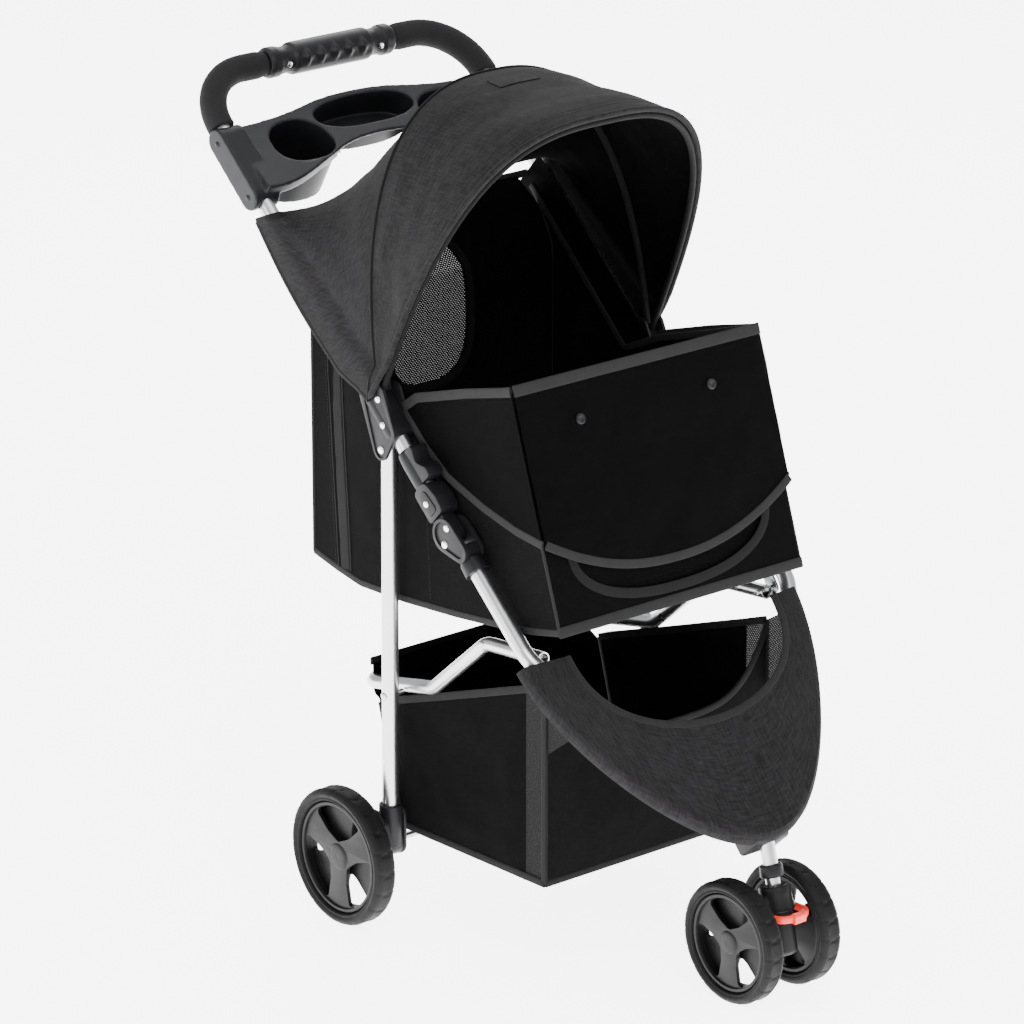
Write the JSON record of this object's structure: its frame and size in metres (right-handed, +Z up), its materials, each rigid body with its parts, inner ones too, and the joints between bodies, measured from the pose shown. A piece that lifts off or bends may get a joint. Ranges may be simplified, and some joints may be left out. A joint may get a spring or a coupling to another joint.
{
  "type": "pet stroller",
  "caption": "Folding pet stroller with a canopied fabric cabin, under-seat basket, handle tray with cup holders, swivel front caster and braked rear wheels",
  "frame": {"origin": "middle of the footprint box at floor level", "axes": "+Z up, -Y forward (rolling direction), +X to the left of the person pushing"},
  "size_m": [0.4954, 0.842, 0.9588],
  "materials": {
    "aluminium_tube": "satin drawn tube",
    "steel": "zinc plated",
    "black_plastic": "fine moulded texture",
    "tray_plastic": "satin moulded",
    "grip_foam": "closed-cell foam",
    "tyre_rubber": "matte",
    "red_plastic": "gloss moulded",
    "canvas": "melange polyester weave",
    "mesh_cloth": "fine polyester mesh",
    "cushion_cloth": "padded polyester",
    "floor_plastic": "sheet"
  },
  "bodies": {
    "front_frame": {"front_leg_tube": "aluminium_tube", "post_block": "black_plastic", "caster_post": "steel", "seat_tab_left": "steel", "seat_tab_right": "steel", "lock_lower_left": "black_plastic", "lock_lower_right": "black_plastic", "fold_pin_left": "steel", "fold_pin_right": "steel", "cabin_side_left": "canvas", "cabin_side_right": "canvas", "cabin_rear": "canvas", "cabin_front": "mesh_cloth", "cabin_bottom": "canvas", "floor_board": "floor_plastic", "floor_cushion": "cushion_cloth", "basket_side_left": "mesh_cloth", "basket_side_right": "mesh_cloth", "basket_rear": "canvas", "basket_front": "canvas", "basket_floor": "canvas", "apron": "canvas"},
    "handle_frame": {"handle_tube_left": "aluminium_tube", "handle_tube_right": "aluminium_tube", "handle_foam_left": "grip_foam", "handle_foam_right": "grip_foam", "grip_upper_shell": "black_plastic", "grip_lower_shell": "black_plastic", "parent_tray": "tray_plastic", "lock_upper_left": "black_plastic", "lock_upper_right": "black_plastic", "hinge_bracket_left": "black_plastic", "hinge_bracket_right": "black_plastic", "leg_pin_left": "steel", "leg_pin_right": "steel", "canopy_rear_bow": "black_plastic", "canopy_cover": "canvas"},
    "canopy_bow": {"canopy_front_bow": "black_plastic"},
    "release_left": {"release_sleeve_left": "black_plastic"},
    "release_right": {"release_sleeve_right": "black_plastic"},
    "rear_legs": {"rear_leg_left": "aluminium_tube", "rear_leg_right": "aluminium_tube", "foot_bracket_left": "black_plastic", "foot_bracket_right": "black_plastic", "rear_axle": "steel"},
    "brake_left": {"brake_pedal_left": "red_plastic"},
    "brake_right": {"brake_pedal_right": "red_plastic"},
    "rear_wheel_left": {"rear_tyre_left": "tyre_rubber", "rear_hub_left": "black_plastic"},
    "rear_wheel_right": {"rear_tyre_right": "tyre_rubber", "rear_hub_right": "black_plastic"},
    "seat_link": {"seat_frame": "aluminium_tube"},
    "caster": {"caster_housing": "black_plastic", "caster_axle": "steel"},
    "swivel_lock_loop": {"swivel_lock": "red_plastic"},
    "front_wheel_left": {"front_tyre_left": "tyre_rubber", "front_hub_left": "black_plastic"},
    "front_wheel_right": {"front_tyre_right": "tyre_rubber", "front_hub_right": "black_plastic"},
    "flap": {"front_flap": "mesh_cloth"}
  },
  "joints": [
    {"name": "fold", "type": "hinge", "parent": "front_frame", "child": "handle_frame", "pos_m": [0, -0.05207, 0.49105], "axis": [-1, 0, 0], "range_deg": [0, 135], "deforming": ["basket_side_left", "basket_side_right", "basket_rear", "basket_front", "basket_floor", "cabin_side_left", "cabin_side_right", "cabin_rear"]},
    {"name": "leg_fold", "type": "hinge", "parent": "handle_frame", "child": "rear_legs", "pos_m": [0, 0.05591, 0.56213], "axis": [-1, 0, 0], "range_deg": [-92, 0]},
    {"name": "seat_fold", "type": "hinge", "parent": "front_frame", "child": "seat_link", "pos_m": [0, -0.1655, 0.375], "axis": [-1, 0, 0], "range_deg": [0, 84.5]},
    {"name": "canopy_fold", "type": "hinge", "parent": "handle_frame", "child": "canopy_bow", "pos_m": [0, 0.05992, 0.62493], "axis": [-1, 0, 0], "range_deg": [0, 30], "deforming": ["canopy_cover"]},
    {"name": "release_left_slide", "type": "slide", "parent": "handle_frame", "child": "release_left", "axis": [0, 0.7433, 0.669], "range_m": [0, 0.01], "stiffness_N_per_m": 400, "springref_m": -0.004},
    {"name": "release_right_slide", "type": "slide", "parent": "handle_frame", "child": "release_right", "axis": [0, 0.7433, 0.669], "range_m": [0, 0.01], "stiffness_N_per_m": 400, "springref_m": -0.004},
    {"name": "rear_wheel_left_spin", "type": "hinge", "parent": "rear_legs", "child": "rear_wheel_left", "pos_m": [0.2335, 0.09, 0.08], "axis": [1, 0, 0], "continuous": true},
    {"name": "rear_wheel_right_spin", "type": "hinge", "parent": "rear_legs", "child": "rear_wheel_right", "pos_m": [-0.2335, 0.09, 0.08], "axis": [1, 0, 0], "continuous": true},
    {"name": "brake_left_press", "type": "hinge", "parent": "rear_legs", "child": "brake_left", "pos_m": [0.1955, 0.114, 0.104], "axis": [-1, 0, 0], "range_deg": [0, 18]},
    {"name": "brake_right_press", "type": "hinge", "parent": "rear_legs", "child": "brake_right", "pos_m": [-0.1955, 0.114, 0.104], "axis": [-1, 0, 0], "range_deg": [0, 18]},
    {"name": "caster_swivel", "type": "hinge", "parent": "front_frame", "child": "caster", "pos_m": [0, -0.36953, 0.12604], "axis": [0, 0.2588, 0.9659], "continuous": true},
    {"name": "swivel_lock_flip", "type": "hinge", "parent": "caster", "child": "swivel_lock_loop", "pos_m": [0, -0.36774, 0.10286], "axis": [-1, 0, 0], "range_deg": [0, 22]},
    {"name": "front_wheel_left_spin", "type": "hinge", "parent": "caster", "child": "front_wheel_left", "pos_m": [0.0418, -0.351, 0.07], "axis": [1, 0, 0], "continuous": true},
    {"name": "front_wheel_right_spin", "type": "hinge", "parent": "caster", "child": "front_wheel_right", "pos_m": [-0.0418, -0.351, 0.07], "axis": [1, 0, 0], "continuous": true},
    {"name": "flap_lift", "type": "hinge", "parent": "front_frame", "child": "flap", "pos_m": [0, -0.1375, 0.672], "axis": [-1, 0, 0], "range_deg": [0, 150]}
  ],
  "couplings": [
    {"joint": "leg_fold", "follows": "fold", "ratio": -0.681},
    {"joint": "seat_fold", "follows": "fold", "ratio": 0.625}
  ]
}
